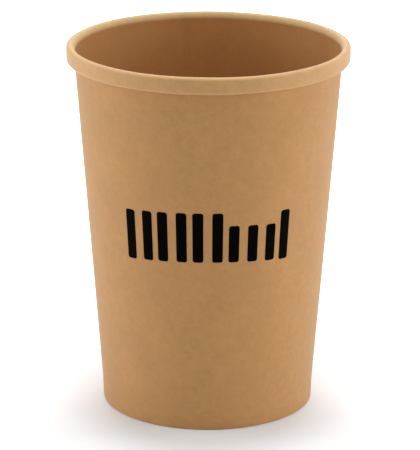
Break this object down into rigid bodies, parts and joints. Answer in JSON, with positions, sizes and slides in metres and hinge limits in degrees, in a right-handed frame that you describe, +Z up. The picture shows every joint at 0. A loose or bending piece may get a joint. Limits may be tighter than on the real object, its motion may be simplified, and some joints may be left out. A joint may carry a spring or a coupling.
{
  "type": "paper soup cup",
  "caption": "Tapered paper soup cup with a rolled rim, a folded foot and a base disc held up inside the foot, printed with a row of plain black bars.",
  "frame": {"origin": "centre of the foot's ring, on the table", "axes": "+Z up the cup's axis, to the rim; -Y towards the print; the side seam is at the back, near +Y"},
  "size_m": [0.1042, 0.1042, 0.1365],
  "materials": {
    "kraft_board": "uncoated brown kraft, matt, with fine fibres",
    "base_board": "brown kraft with a thin food coating, satin",
    "black_ink": "flat black ink printed on the board"
  },
  "bodies": {
    "root": {"sidewall": "kraft_board", "base_disc": "base_board", "printed_bars": "black_ink"}
  },
  "joints": []
}
